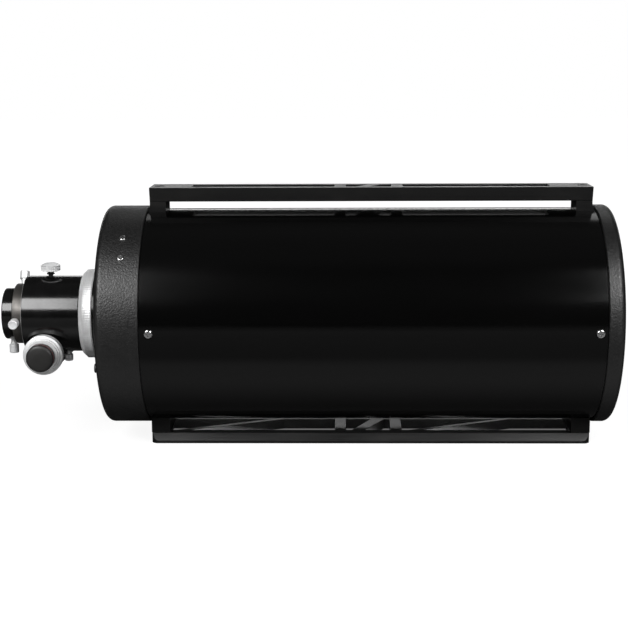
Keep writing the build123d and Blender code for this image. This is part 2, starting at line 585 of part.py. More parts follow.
SMALL_HEAD_R = 5.1
SMALL_HEAD_LENGTH = 9.8
SMALL_NECK_R = 3.2
SMALL_NECK_LENGTH = 6.0
clamp_shank = CLAMP_R - CLAMP_BORE_R - GROOVE - 0.1
for number, place in enumerate(clamp_places, 1):
    pieces[f"clamp_thumbscrew_{number}"] = thumbscrew(
        place, SMALL_HEAD_R, SMALL_HEAD_LENGTH, SMALL_NECK_R, SMALL_NECK_LENGTH, M4_R, clamp_shank)

# Eyepiece adapter that slides into the clamp.
EYEPIECE_GROOVE = 1.5
eyepiece_groove_x = (EYEPIECE_SCREW_X - 1.8, EYEPIECE_SCREW_X + 1.8)
eyepiece_place = radial_place(EYEPIECE_SCREW_X, EYEPIECE_FLANGE_R, 180)
adapter = turned(OPTICAL_AXIS, [
    (EYEPIECE_BORE_R, EYEPIECE_BACK), (EYEPIECE_FLANGE_R, EYEPIECE_BACK),
    (EYEPIECE_FLANGE_R, CLAMP_BACK - 0.2), (CLAMP_BORE_R - SLIP, CLAMP_BACK - 0.2),
    (CLAMP_BORE_R - SLIP, EYEPIECE_SLEEVE_END), (CLAMP_BORE_R - 2, EYEPIECE_SLEEVE_END),
    (CLAMP_BORE_R - 2, EYEPIECE_SCREW_X + 5), (EYEPIECE_BORE_R, EYEPIECE_SCREW_X + 5),
], rounds=[(EYEPIECE_FLANGE_R, EYEPIECE_BACK, 1.5)])
adapter -= sleeve(EYEPIECE_BORE_R + EYEPIECE_GROOVE, EYEPIECE_BORE_R - 1, *eyepiece_groove_x)
adapter -= rod(M4_R + RUNNING, -14, 1, eyepiece_place)
pieces["eyepiece_adapter"] = adapter
pieces["eyepiece_brass_ring"] = sleeve(EYEPIECE_BORE_R + EYEPIECE_GROOVE - 0.3,
                                       EYEPIECE_BORE_R + 0.05, *eyepiece_groove_x)
eyepiece_shank = EYEPIECE_FLANGE_R - EYEPIECE_BORE_R - EYEPIECE_GROOVE - 0.1
pieces["eyepiece_thumbscrew"] = thumbscrew(
    eyepiece_place, SMALL_HEAD_R, SMALL_HEAD_LENGTH, SMALL_NECK_R, SMALL_NECK_LENGTH, M4_R,
    eyepiece_shank)

os.makedirs("parts", exist_ok=True)
for name, shape in pieces.items():
    export_step(Pos(0, 0, AXIS_HEIGHT) * shape, f"parts/{name}.step")
print(len(pieces), "pieces written")
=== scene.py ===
# %% [markdown]
# # A two-mirror telescope tube, dressed for its picture
# The metalwork already exists as a measured model. This lesson loads it as a fixed frame,
# gives every part a finish, remakes the parts whose charm is in small detail, such as knurled
# screws, and sets a plain studio round it.

# %% Load the frame
import bpy
import bmesh
from math import atan2, cos, hypot, pi, radians, tau
from mathutils import Matrix, Vector


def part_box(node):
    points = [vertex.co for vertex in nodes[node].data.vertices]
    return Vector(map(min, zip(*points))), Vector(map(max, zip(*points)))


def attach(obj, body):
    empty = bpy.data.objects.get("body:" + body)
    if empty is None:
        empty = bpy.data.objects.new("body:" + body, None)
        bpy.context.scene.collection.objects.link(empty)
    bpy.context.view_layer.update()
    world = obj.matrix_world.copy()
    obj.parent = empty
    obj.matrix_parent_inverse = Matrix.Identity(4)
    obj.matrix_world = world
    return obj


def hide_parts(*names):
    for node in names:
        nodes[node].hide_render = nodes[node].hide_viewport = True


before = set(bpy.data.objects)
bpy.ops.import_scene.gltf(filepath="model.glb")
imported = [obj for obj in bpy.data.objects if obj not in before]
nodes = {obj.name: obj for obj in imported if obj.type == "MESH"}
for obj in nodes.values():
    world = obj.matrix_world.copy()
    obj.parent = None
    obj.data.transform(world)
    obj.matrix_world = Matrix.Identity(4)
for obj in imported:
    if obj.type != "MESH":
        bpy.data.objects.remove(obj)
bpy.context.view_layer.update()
print("parts in the frame:", len(nodes))

# %% [markdown]
# ## Where things are
# Every place below is worked out from the boxes of the measured parts. The optical axis runs
# along X through the middle of the tube, and the focusing shaft crosses under it along Y.

# %% Axes of the instrument
MM = 0.001


def middle(node):
    """Centre of a part's box."""
    low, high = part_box(node)
    return (low + high) / 2


def size_of(node):
    """Lengths of a part's box along X, Y and Z."""
    low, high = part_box(node)
    return high - low


along_tube = Vector((1, 0, 0))
tube_middle = middle("main_tube")
shaft_middle = middle("pinion_shaft")
print("optical axis height:", round(tube_middle.z, 4), "shaft height:", round(shaft_middle.z, 4))

# %% [markdown]
# ## The camera
# A long lens from a few steps away keeps the tube's two ends nearly the same size. The camera
# stands a little behind the middle, higher than the tube, and looks slightly down. Turning
# it in three steps, about the vertical, then the horizon, then its own line of sight, is
# easier to read than one set of mixed angles.

# %% Place the camera
CAMERA_PLACE = Vector((-0.0306, -1.5107, 0.4190))
LENS_MM = 81.1
LOOK_LEFT = radians(1.14)
LOOK_DOWN = radians(10.65)
LEAN = radians(-0.265)

camera_data = bpy.data.cameras.new("camera")
camera_data.lens = LENS_MM
camera_data.sensor_width = 36
camera = bpy.data.objects.new("camera", camera_data)
turn = Matrix.Rotation(LOOK_LEFT, 4, "Z") @ Matrix.Rotation(pi / 2 - LOOK_DOWN, 4, "X")
camera.matrix_world = Matrix.Translation(CAMERA_PLACE) @ turn @ Matrix.Rotation(LEAN, 4, "Z")
bpy.context.scene.collection.objects.link(camera)
bpy.context.scene.camera = camera
print("camera to tube:", round((CAMERA_PLACE - tube_middle).length, 2), "m")

# %% [markdown]
# ## Writing a finish as sums
# A material is a web of nodes, which is slow to read when each link has its own line. One
# small class stands for a socket, so that adding or multiplying two of them adds the Math
# node. A second class is the material itself, with one method that makes every other node.

# %% Signals and finishes
class Signal:
    """A value that changes over a surface. Arithmetic on it adds Math nodes."""

    def __init__(self, finish, socket):
        self.finish = finish
        self.socket = socket

    def maths(self, operation, first, second):
        return self.finish.add("ShaderNodeMath", {"operation": operation}, {0: first, 1: second})

    def __add__(self, other):
        return self.maths("ADD", self, other)

    def __rsub__(self, other):
        return self.maths("SUBTRACT", other, self)

    def __mul__(self, other):
        return self.maths("MULTIPLY", self, other)

    def __abs__(self):
        return self.finish.add("ShaderNodeMath", {"operation": "ABSOLUTE"}, {0: self})

    __radd__ = __add__
    __rmul__ = __mul__


class Finish:
    """The nodes of a material, or of the world when its tree is handed in."""

    def __init__(self, name, tree=None):
        self.material = bpy.data.materials.new(name) if tree is None else None
        if tree is None:
            self.material.use_nodes = True
            tree = self.material.node_tree
        self.tree = tree
        self.tree.nodes.clear()

    def add(self, kind, settings=None, inputs=None, out=0):
        """Makes a node, sets it up, fills its sockets and returns one of its outputs."""
        node = self.tree.nodes.new(kind)
        for name, value in (settings or {}).items():
            setattr(node, name, value)
        for key, value in (inputs or {}).items():
            if isinstance(value, Signal):
                self.tree.links.new(value.socket, node.inputs[key])
            else:
                node.inputs[key].default_value = value
        return Signal(self, node.outputs[out]) if node.outputs else node

    def place(self):
        """The point on the surface, in metres."""
        return self.add("ShaderNodeTexCoord", out="Object")

    def axes(self, point):
        """The X, Y and Z of a point, as three signals."""
        node = self.add("ShaderNodeSeparateXYZ", {}, {0: point}).socket.node
        return [Signal(self, output) for output in node.outputs]

    def noise(self, scale, detail=2.0, roughness=0.5, stretch=(1, 1, 1), point=None):
        """Soft random values from 0 to 1, with scale bumps to a metre."""
        spot = self.add("ShaderNodeMapping", {}, {"Vector": point or self.place(), "Scale": stretch})
        return self.add("ShaderNodeTexNoise", {}, {
            "Vector": spot, "Scale": scale, "Detail": detail, "Roughness": roughness}, "Fac")

    def between(self, signal, low, high, start=0.0, end=1.0):
        """Turns the span low to high into start to end, easing in and out."""
        return self.add("ShaderNodeMapRange", {"interpolation_type": "SMOOTHSTEP"}, {
            "Value": signal, "From Min": low, "From Max": high, "To Min": start, "To Max": end})

    def blend(self, share, first, second):
        """Mixes two colours."""
        return self.add("ShaderNodeMix", {"data_type": "RGBA"}, {0: share, 6: first, 7: second}, 2)

    def bump(self, height, depth):
        """Surface direction for a relief of that depth in metres."""
        return self.add("ShaderNodeBump", {}, {"Height": height, "Distance": depth, "Strength": 1.0})

    def coat(self, **sockets):
        """The closing shader. Underscores in a name stand for spaces."""
        inputs = {name.replace("_", " "): value for name, value in sockets.items()}
        shader = self.add("ShaderNodeBsdfPrincipled", {}, inputs)
        self.add("ShaderNodeOutputMaterial", {}, {"Surface": shader})
        return self.material


def grey(value, warmth=0.0):
    """A near grey, warmer above zero and cooler below."""
    return (value * (1 + warmth), value, value * (1 - warmth), 1.0)


# %% [markdown]
# ## Marks of the lathe
# Turned metal carries hair-fine rings about its own axis. Measuring how far a point lies along
# the axis and how far out from it, and feeding both to a noise, gives rings on flat faces and
# on round ones alike, whichever way the part points.

# %% Rings about an axis
def lathe_place(finish, centre, direction):
    """How far a point lies along an axis, and how far out from it, in metres."""
    arm = finish.add("ShaderNodeVectorMath", {"operation": "SUBTRACT"}, {0: finish.place(), 1: centre})
    arms = {0: arm, 1: direction}
    along = finish.add("ShaderNodeVectorMath", {"operation": "DOT_PRODUCT"}, arms, "Value")
    across = finish.add("ShaderNodeVectorMath", {"operation": "CROSS_PRODUCT"}, arms)
    out = finish.add("ShaderNodeVectorMath", {"operation": "LENGTH"}, {0: across}, "Value")
    return along, out


def lathe_rings(finish, along, out, scale):
    """Noise that only changes along and away from an axis, like tool marks."""
    point = finish.add("ShaderNodeCombineXYZ", {}, {0: along, 1: out})
    return finish.noise(scale, 3.0, 0.6, point=point)


# %% [markdown]
# ## Paint on the shell
# The rolled tube is sprayed with a smooth black gloss: almost no colour, a faint orange peel
# and a little dust. The two cast ends have a matt hammered paint whose grain scatters the lamps
# into a broad grey sheen, so its relief is deeper and its shine is rough.

# %% Tube gloss and cast-end paint
def tube_gloss(name):
    finish = Finish(name)
    peel = finish.noise(420.0, 2.0)
    haze = finish.noise(9.0, 3.0, stretch=(0.3, 1, 1))
    specks = finish.between(finish.noise(1900.0, 1.0), 0.74, 0.80)
    return finish.coat(
        Base_Color=finish.blend(specks * 0.25, grey(0.0009), grey(0.012)),
        Roughness=finish.between(haze, 0.3, 0.7, 0.10, 0.17),
        Specular_IOR_Level=0.30,
        Normal=finish.bump(peel, 0.000012))


def hammered_paint(name):
    finish = Finish(name)
    grain = finish.noise(520.0, 3.0, 0.62)
    cells = finish.add("ShaderNodeTexVoronoi", {"feature": "SMOOTH_F1"}, {
        "Vector": finish.place(), "Scale": 560.0, "Smoothness": 0.6}, "Distance")
    cloud = finish.noise(16.0, 3.0)
    relief = grain * 0.6 + cells * 0.7
    return finish.coat(
        Base_Color=finish.blend(finish.between(grain * 0.7 + cloud * 0.3, 0.35, 0.65),
                                grey(0.002), grey(0.005, 0.01)),
        Roughness=finish.between(grain, 0.3, 0.7, 0.36, 0.50),
        Specular_IOR_Level=0.55,
        Normal=finish.bump(relief, 0.00026))


finishes = {"main_tube": tube_gloss("tube_gloss")}
for part in ("rear_cell", "front_ring"):
    finishes[part] = hammered_paint(f"{part}_hammered")
print("shell finishes:", sorted(finishes))

# %% [markdown]
# ## The walls of the rails' windows
# Windows go through both rails to save weight. In the lower rail their walls can be seen, and
# they are given a light grey in place of the dye, a painted light for walls that lie in shade,
# which needs a mask that finds them. A second material on chosen faces would do it too, but a
# mask made from the place of a point leaves the measured mesh alone: the walls lie near the
# middle of the rail and clear of its two faces.

# %% Mask for the window walls
EDGE = 0.4 * MM         # how far a mask takes to fade


def window_walls(finish, half_width, low, high):
    """1 between two heights and near the middle, 0 elsewhere."""
    across, height = finish.axes(finish.place())[1:]
    near_middle = finish.between(abs(across), half_width, half_width + EDGE, 1.0, 0.0)
    above_foot = finish.between(height, low, low + EDGE)
    below_top = finish.between(height, high - EDGE, high, 1.0, 0.0)
    return near_middle * above_foot * below_top


# %% [markdown]
# ## Anodised rails
# The rails are sawn from drawn bar, so the die leaves fine lines along X under the black dye,
# and handling rubs the long faces a little lighter. The feet sit in the shadow of the rails,
# and get the same dye with less shine.

# %% Rail and foot black
RAIL_SHINE = 0.38
FOOT_SHINE = 0.16
WINDOW_HALF_WIDTH = 23 * MM


def drawn_black(name, shine, windows=None):
    """Black dye over drawn metal. windows gives half width, low and high of walls painted light grey."""
    finish = Finish(name)
    lines = finish.noise(900.0, 2.0, stretch=(0.012, 1, 1))
    rub = finish.noise(26.0, 4.0, 0.65, stretch=(0.35, 1, 1))
    dye = finish.blend(finish.between(rub, 0.45, 0.75), grey(0.0065), grey(0.012, 0.03))
    if windows is not None:
        # Painted light: the window walls get a light grey in place of the dye, standing in for light on
        # walls that lie in shade.
        painted_light = finish.blend(rub, grey(0.55), grey(0.70))
        dye = finish.blend(window_walls(finish, *windows), dye, painted_light)
    return finish.coat(
        Base_Color=dye,
        Roughness=finish.between(lines * 0.5 + rub * 0.5, 0.3, 0.7, 0.27, 0.38),
        Specular_IOR_Level=shine,
        Normal=finish.bump(lines, 0.00003))


bottom_low, bottom_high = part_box("bottom_rail")
bottom_windows = (WINDOW_HALF_WIDTH, bottom_low.z, bottom_high.z)
finishes["top_rail"] = drawn_black("top_rail_drawn_black", RAIL_SHINE)
finishes["bottom_rail"] = drawn_black("bottom_rail_drawn_black", RAIL_SHINE, bottom_windows)
feet = [f"{side}_foot_{end}" for side in ("top", "bottom") for end in ("rear", "front")]
for part in feet:
    finishes[part] = drawn_black(f"{part}_drawn_black", FOOT_SHINE)
print("rail and foot finishes:", 2 + len(feet))

# %% [markdown]
# ## Flat black inside
# Stray light is the enemy inside a telescope, so the fittings that face the mirrors are a dead
# flat black: no shine, a coarse dry texture, and only a hint of colour change.

# %% Flat black
def flat_black(name):
    finish = Finish(name)
    tooth = finish.noise(1500.0, 4.0, 0.7)
    return finish.coat(
        Base_Color=finish.blend(finish.between(tooth, 0.3, 0.7), grey(0.009), grey(0.016)),
        Roughness=finish.between(tooth, 0.3, 0.7, 0.75, 0.92),
        Specular_IOR_Level=0.3,
        Normal=finish.bump(tooth, 0.00008))


inner_parts = ["baffle_rings", "spider", "primary_carrier", "primary_baffle", "mirror_retainer",
               "primary_seat_ring", "secondary_holder", "secondary_shade"]
for part in inner_parts:
    finishes[part] = flat_black(f"{part}_flat_black")
print("flat black parts:", len(inner_parts))

# %% [markdown]
# ## Turned metals
# One function covers every turned metal, because they differ only in colour, shine and how much
# they behave as bare metal. Clear anodising is a thin glassy skin, so the silver parts are not
# fully metallic: they keep a soft light tone even where nothing bright is reflected. A black
# part may have a painted highlight on a rim: a thin light line, where a chamfer would catch the lamps.

# %% Turned metal
RIM_WIDE = 0.8 * MM
# The grey below is a painted highlight: a thin light line along a rim, where a chamfer would catch the
# lamps.
RIM_HIGHLIGHT_GREY = grey(0.60)


def turned_metal(name, colour, worn, centre, direction, metallic=1.0, shine=(0.25, 0.4),
                 relief=0.00002, scale=1400.0, rim=None):
    """Lathe marks, smudges and, with rim as (place along the axis, radius), a painted highlight along it.
    """
    finish = Finish(name)
    along, out = lathe_place(finish, centre, direction)
    rings = lathe_rings(finish, along, out, scale)
    smudge = finish.noise(90.0, 3.0)
    tint = finish.blend(finish.between(rings * 0.5 + smudge * 0.5, 0.35, 0.65), colour, worn)
    if rim is not None:
        rim_along, rim_out = rim
        # Painted highlight: a thin light line along the rim of a black part.
        rim_highlight_mask = finish.between(along, rim_along, rim_along + RIM_WIDE, 1.0, 0.0)
        rim_highlight_mask = rim_highlight_mask * finish.between(out, rim_out - RIM_WIDE, rim_out - RIM_WIDE / 2)
        tint = finish.blend(rim_highlight_mask, tint, RIM_HIGHLIGHT_GREY)
    return finish.coat(
        Base_Color=tint,
        Roughness=finish.between(rings * 0.6 + smudge * 0.4, 0.35, 0.65, *shine),
        Metallic=metallic,
        Specular_IOR_Level=0.5,
        Normal=finish.bump(rings, relief))


# %% [markdown]
# ## The metals of this telescope
# Each metal is one call: two colours to drift between, how metallic it is and how rough.
# Naming them as functions keeps the list of parts below short and easy to check.

# %% Metals by name
def silver(name, centre, direction):
    return turned_metal(name, grey(0.93, -0.008), grey(0.76), centre, direction, 0.46,
                        (0.38, 0.50))


def gloss_black(name, centre, direction, rim=None):
    return turned_metal(name, grey(0.0014), grey(0.0030), centre, direction, 0.0, (0.14, 0.18),
                        0.000002, rim=rim)


def satin_black(name, centre, direction):
    return turned_metal(name, grey(0.125, 0.06), grey(0.080, 0.05), centre, direction, 0.85,
                        (0.36, 0.50))


def bright_steel(name, centre, direction):
    return turned_metal(name, grey(0.62), grey(0.48), centre, direction, 1.0, (0.16, 0.30))


def black_steel(name, centre, direction):
    return turned_metal(name, grey(0.020), grey(0.035), centre, direction, 0.5, (0.30, 0.42))


def brass(name, centre, direction):
    return turned_metal(name, (0.62, 0.42, 0.16, 1), (0.50, 0.33, 0.13, 1), centre, direction)


# %% [markdown]
# ## Which part is which metal
# The axis given with each part is the one that the rings of its finish run round. A group of
# screws is one part with one centre, and screws set at a slant get the nearest main axis, so
# on them the rings only read as fine scratches. The focuser body comes last, because the painted
# highlight on its rear rim needs the rim's radius measured.

# %% Finishes of the turned parts
across_tube = Vector((0, 1, 0))
upright = Vector((0, 0, 1))
turned_parts = {
    "eyepiece_adapter": (gloss_black, along_tube), "adapter_flange": (gloss_black, along_tube),
    "pinion_block": (gloss_black, across_tube), "clamp_2in": (satin_black, along_tube),
    "drawtube": (satin_black, along_tube), "reducer_hub": (satin_black, across_tube),
    "secondary_washer": (bright_steel, along_tube), "drawtube_rail": (bright_steel, across_tube),
    "pinion_shaft": (bright_steel, across_tube), "roller_pins": (bright_steel, along_tube),
    "clamp_brass_ring": (brass, along_tube), "eyepiece_brass_ring": (brass, along_tube),
    "side_screws_rear": (bright_steel, across_tube), "side_screws_front": (bright_steel, across_tube),
    "finder_screws": (bright_steel, across_tube), "carrier_springs": (bright_steel, along_tube),
    "top_rail_screws": (black_steel, upright), "bottom_rail_screws": (black_steel, upright),
    "pull_screws": (black_steel, along_tube), "push_screws": (bright_steel, along_tube),
    "secondary_screws": (black_steel, along_tube), "block_screws": (black_steel, upright),
    "secondary_centre_bolt": (black_steel, along_tube),
}
turned_parts.update({f"roller_{number}": (bright_steel, along_tube) for number in range(1, 5)})
for part, (metal, axis) in turned_parts.items():
    finishes[part] = metal(f"{part}_{metal.__name__}", middle(part), axis)
body_start = Vector((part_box("focuser_body")[0].x, tube_middle.y, tube_middle.z))
body_r = max(hypot(*(vert.co - body_start).yz) for vert in nodes["focuser_body"].data.vertices
             if vert.co.x < body_start.x + RIM_WIDE)
print("rear rim of the focuser body, radius in mm:", round(body_r / MM, 1))
# The focuser body gets the painted highlight on its rear rim.
finishes["focuser_body"] = gloss_black("focuser_body_gloss", body_start, along_tube, (0.0, body_r))
print("turned finishes:", len(turned_parts) + 1)

# %% [markdown]
# ## Mirrors, cork and bushes
# Mirror glass is nearly perfect, with only a breath of dust. Cork needs big soft grains in two
# browns. The shaft turns in black acetal bushes, a waxy plastic.

# %% The other finishes
def mirror_coat(name):
    finish = Finish(name)
    dust = finish.between(finish.noise(700.0, 2.0), 0.62, 0.75)
    return finish.coat(
        Base_Color=finish.blend(dust, grey(0.90, -0.01), grey(0.72)),
        Roughness=dust * 0.10 + 0.015,
        Metallic=1.0)


DARK_CORK = (0.10, 0.05, 0.02, 1)
LIGHT_CORK = (0.36, 0.21, 0.10, 1)


def cork_sheet(name):
    finish = Finish(name)
    grains = finish.noise(600.0, 3.0)
    return finish.coat(
        Base_Color=finish.blend(finish.between(grains, 0.4, 0.6), DARK_CORK, LIGHT_CORK),
        Roughness=0.9,
        Normal=finish.bump(grains, 0.0003))


def acetal(name):
    finish = Finish(name)
    cloud = finish.noise(250.0, 2.0)
    return finish.coat(
        Base_Color=finish.blend(cloud, grey(0.018), grey(0.026)),
        Roughness=finish.between(cloud, 0.3, 0.7, 0.30, 0.42),
        Normal=finish.bump(cloud, 0.00003))


finishes["primary_mirror"] = mirror_coat("primary_mirror_coat")
finishes["secondary_mirror"] = mirror_coat("secondary_mirror_coat")
finishes["mirror_pad"] = cork_sheet("mirror_pad_cork")
finishes["pinion_bushes"] = acetal("pinion_bushes_acetal")
for part, material in finishes.items():
    nodes[part].data.materials.clear()
    nodes[part].data.materials.append(material)
print("parts with a finish:", len(finishes), "of", len(nodes))

# %% [markdown]
# ## Turning new parts
# The screws and knobs deserve real knurling. Each starts as half of its outline, a chain of
# points and edges. A vertex bevel rounds the chosen corners, a spin sweeps the chain into a
# solid. Drawing every face by hand would give the same shape in far more lines. The form is
# made upright at the origin, and moved to its place later, in its mesh and not by its object.

# %% Lathe
KNURL_STEPS = 4         # points round the rim for each tooth
MERGE_CLOSE = 1e-7      # metres between points that are one point


def turned_form(outline, rounds=(), teeth=24):
    """Solid of revolution about Z from (radius, height) corners in millimetres.

    rounds lists (corner number, size) for the corners that are rounded.
    """
    form = bmesh.new()
    corners = [form.verts.new((radius * MM, 0, height * MM)) for radius, height in outline]
    for first, second in zip(corners, corners[1:]):
        form.edges.new((first, second))
    for number, size in rounds:
        bmesh.ops.bevel(form, geom=[corners[number]], offset=size * MM, offset_type="OFFSET",
                        segments=4, profile=0.5, affect="VERTICES", material=-1)
    bmesh.ops.spin(form, geom=form.verts[:] + form.edges[:], cent=(0, 0, 0), axis=(0, 0, 1),
                   angle=tau, steps=teeth * KNURL_STEPS, use_merge=True)
    bmesh.ops.remove_doubles(form, verts=form.verts, dist=MERGE_CLOSE)
    bmesh.ops.recalc_face_normals(form, faces=form.faces)
    return form


# %% [markdown]
# ## Knurl and place
# A knurl is a wave pressed into the rim: a cosine of the angle, as many times round as there
# are teeth, pushes each point inwards. Setting a form down turns it from upright to its own
# axis. Last, a form becomes a piece: smooth shaded, sharp where its faces meet at an angle,
# and riding on the body that carries it.

# %% Knurl, set down and finish a piece
SHARP_FROM = radians(32)


def knurl(form, teeth, depth, low, high, least):
    """Presses straight grooves into the rim between two heights, all in millimetres."""
    for vert in form.verts:
        radius = hypot(vert.co.x, vert.co.y)
        if low * MM < vert.co.z < high * MM and radius > least * MM:
            groove = (1 - cos(teeth * atan2(vert.co.y, vert.co.x))) / 2
            inwards = 1 - depth * MM * groove / radius
            vert.co.x *= inwards
            vert.co.y *= inwards


def set_down(form, origin, direction):
    """Moves a form so that its foot is at origin and its Z axis along direction."""
    turn = Vector((0, 0, 1)).rotation_difference(Vector(direction)).to_matrix().to_4x4()
    bmesh.ops.transform(form, matrix=Matrix.Translation(origin) @ turn, verts=form.verts)
    return form


def make_piece(name, form, material, body, stands_for=()):
    """Turns a form into a finished piece that rides on a body."""
    mesh = bpy.data.meshes.new(name)
    form.to_mesh(mesh)
    form.free()
    mesh.shade_smooth()
    mesh.set_sharp_from_angle(angle=SHARP_FROM)
    mesh.materials.append(material)
    piece = bpy.data.objects.new(name, mesh)
    bpy.context.scene.collection.objects.link(piece)
    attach(piece, body)
    if stands_for:
        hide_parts(*stands_for)
    print(name, "faces:", len(mesh.polygons))
    return piece


# %% [markdown]
# ## The small thumbscrews
# Three clamp the two inch sleeve and one the eyepiece. Each has a knurled barrel head with a
# smooth waist, a plain collar and a dished end where the lathe's centre stood. A part's box
# gives where its axis starts, and the direction comes from which way its head points.

# %% Small thumbscrews
SMALL_TEETH = 18
SMALL_SEAT = 16.0       # from the seat to the end of the head
SMALL_KNURL_DEPTH = 0.85
small_outline = [(0, -6.0), (2.0, -6.0), (2.0, 0), (3.0, 0), (3.0, 3.6), (3.5, 4.6),
                 (3.5, 6.2), (5.1, 7.0), (5.1, 7.8), (5.1, 14.6), (5.1, 15.4), (4.5, 15.9),
                 (3.7, 15.9), (3.3, 15.3), (0, 15.1)]


def small_thumbscrew(node, body, centre, direction, reach):
    """A small knurled screw standing on the seat that lies reach from the centre."""
    form = turned_form(small_outline, [(10, 0.3), (7, 0.3)], SMALL_TEETH)
    knurl(form, SMALL_TEETH, SMALL_KNURL_DEPTH, 7.9, 14.5, 4.9)
    origin = centre + direction * (reach - SMALL_SEAT * MM)
    set_down(form, origin, direction)
    material = silver(f"{node}_silver", origin, direction)
    return make_piece(f"{node}_knurled", form, material, body, [node])


def head_direction(node, centre):
    """Which way a screw in a round collar points, and how far out its head ends."""
    arm = middle(node) - centre
    arm.x = 0
    direction = arm.normalized()
    reach = max((vert.co - centre).dot(direction) for vert in nodes[node].data.vertices)
    return direction, reach


screws = [(f"clamp_thumbscrew_{number}", f"clamp_screw_{number}") for number in (1, 2, 3)]
screws.append(("eyepiece_thumbscrew", "eyepiece_screw"))
for node, body in screws:
    collar = Vector((middle(node).x, tube_middle.y, tube_middle.z))
    direction, reach = head_direction(node, collar)
    small_thumbscrew(node, body, collar, direction, reach)

# %% [markdown]
# ## The lock screw
# The lock screw on top of the focuser is the one the hand finds in the dark: a wide knurled
# disc with a domed crown on a dark neck. Head and neck are two pieces, because they have two
# finishes, and both ride on the same body.

# %% Lock screw
LOCK_HEAD_THICK = 9.2
LOCK_TEETH = 34
LOCK_KNURL_DEPTH = 0.95
lock_low, lock_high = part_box("lock_thumbscrew")
lock_foot = Vector((middle("lock_thumbscrew").x, middle("lock_thumbscrew").y, lock_low.z))
lock_tall = (lock_high.z - lock_low.z) / MM
lock_head = lock_tall - LOCK_HEAD_THICK
lock_r = size_of("lock_thumbscrew").x / 2 / MM
head = turned_form([(0, lock_head), (lock_r - 1.6, lock_head), (lock_r, lock_head + 0.7),
                    (lock_r, lock_head + 1.1), (lock_r, lock_tall - 3.5), (lock_r, lock_tall - 3.1),
                    (lock_r - 0.9, lock_tall - 2.4), (6.4, lock_tall - 0.4), (0, lock_tall)],
                   [(7, 2.2)], LOCK_TEETH)
knurl(head, LOCK_TEETH, LOCK_KNURL_DEPTH, lock_head + 1.0, lock_tall - 3.3, lock_r - 0.3)
set_down(head, lock_foot, upright)
make_piece("lock_thumbscrew_knurled", head, silver("lock_screw_silver", lock_foot, upright),
           "lock_screw", ["lock_thumbscrew"])
neck = turned_form([(0, 0), (2.5, 0), (2.5, lock_head - 3.8), (4.2, lock_head - 3.6),
                    (4.2, lock_head - 2.4), (3.2, lock_head - 1.8), (3.2, lock_head + 0.2),
                    (0, lock_head + 0.2)], [(3, 0.2)], 12)
set_down(neck, lock_foot, upright)
make_piece("lock_thumbscrew_neck", neck, black_steel("lock_neck_black", lock_foot, upright),
           "lock_screw")

# %% [markdown]
# ## The tension screw
# Below the focuser a smaller screw sets how hard the shaft presses on its rail. It hangs head
# down, so its form is set down along minus Z from the top of its box.

# %% Tension screw
TENSION_TEETH = 20
TENSION_KNURL_DEPTH = 0.5
tension_low, tension_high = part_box("tension_screw")
tension_foot = Vector((middle("tension_screw").x, middle("tension_screw").y, tension_high.z))
tension_tall = (tension_high.z - tension_low.z) / MM
form = turned_form([(0, 0), (2.0, 0), (2.0, 5.0), (2.8, 5.2), (2.8, 6.6), (4.6, 7.6), (4.6, 8.1),
                    (4.6, tension_tall - 0.9), (3.9, tension_tall), (3.0, tension_tall),
                    (2.6, tension_tall - 0.6), (0, tension_tall - 0.6)], [], TENSION_TEETH)
knurl(form, TENSION_TEETH, TENSION_KNURL_DEPTH, 7.9, tension_tall - 0.7, 4.4)
set_down(form, tension_foot, -upright)
make_piece("tension_screw_knurled", form, silver("tension_screw_silver", tension_foot, upright),
           "tension_screw", ["tension_screw"])

# %% [markdown]
# ## The focuser's fixed ring
# The silver ring screws to a black flange on the back of the cell. Its rear shoulder is a cone
# with crisp edges and its rim has a band of fine straight knurling between two smooth lands.

# %% Focuser ring
RING_TEETH = 110
RING_KNURL_DEPTH = 0.3
BORE_R = 37.0
NECK_GROOVE_R = 38.1
NECK_GROOVE_LONG = 8.7
SEAM_CLOSE = 1e-6       # metres, to merge again what a knurl has brought together
ring_low, ring_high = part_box("focuser_ring")
ring_foot = Vector((ring_low.x, tube_middle.y, tube_middle.z))
ring_r = size_of("focuser_ring").y / 2 / MM
ring_long = (ring_high.x - ring_low.x) / MM
form = turned_form([(BORE_R, ring_long), (BORE_R, NECK_GROOVE_LONG), (NECK_GROOVE_R, NECK_GROOVE_LONG),
                    (NECK_GROOVE_R, 0), (ring_r - 4.0, 0), (ring_r - 3.5, 0.5), (ring_r - 0.5, 3.7),
                    (ring_r, 4.3), (ring_r, 4.9), (ring_r, ring_long - 1.8), (ring_r, ring_long - 1.2),
                    (ring_r - 0.6, ring_long), (BORE_R, ring_long)],
                   [(5, 0.3), (6, 0.3)], RING_TEETH)
knurl(form, RING_TEETH, RING_KNURL_DEPTH, 4.8, ring_long - 1.6, ring_r - 0.2)
bmesh.ops.remove_doubles(form, verts=form.verts, dist=SEAM_CLOSE)
set_down(form, ring_foot, along_tube)
make_piece("focuser_ring_knurled", form, silver("focuser_ring_silver", ring_foot, along_tube),
           "tube_assembly", ["focuser_ring"])

# %% [markdown]
# ## The coarse wheels
# A wide silver wheel sits on each end of the shaft, with a grooved rim and two steps on its
# face. One function makes both, measured inwards from the outer face of each, because the two
# are mirror images about the tube.

# %% Coarse wheels
COARSE_TEETH = 90
COARSE_KNURL_DEPTH = 0.45
WHEEL_THICK = 13.6
WHEEL_AND_HUB = 22.7
coarse_r = size_of("coarse_knob_left").x / 2 / MM


